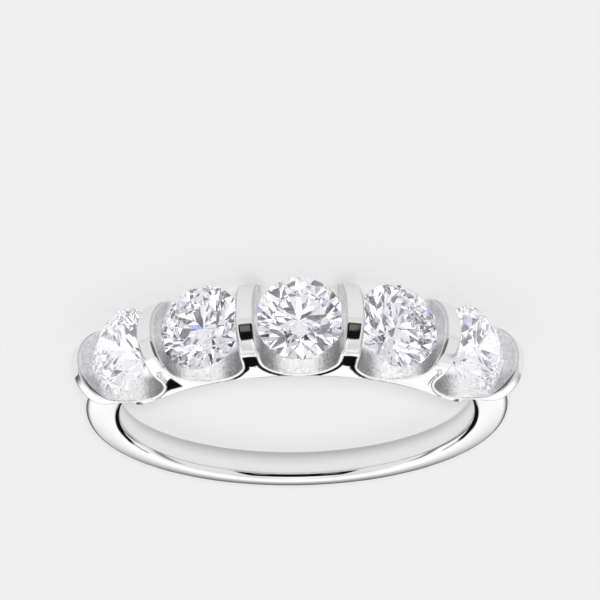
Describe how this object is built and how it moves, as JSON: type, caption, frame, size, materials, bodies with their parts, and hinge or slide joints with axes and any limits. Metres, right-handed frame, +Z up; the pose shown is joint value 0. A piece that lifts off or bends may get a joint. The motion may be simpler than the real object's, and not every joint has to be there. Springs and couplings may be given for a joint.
{
  "type": "bar set band ring",
  "caption": "Finger ring with round brilliant stones held side by side in grooved, domed bars on a rounded head, with a slim shank.",
  "frame": {"origin": "centre of the finger hole", "axes": "+Z up, the finger hole's axis within 5 degrees of +Z, the stones on the -Y side, +X along the row of stones"},
  "size_m": [0.0222, 0.022, 0.0045],
  "materials": {
    "band": "polished white gold",
    "stone": "faceted and polished"
  },
  "bodies": {
    "root": {"band": "band", "stone_1": "stone", "stone_2": "stone", "stone_3": "stone", "stone_4": "stone", "stone_5": "stone"}
  },
  "joints": []
}
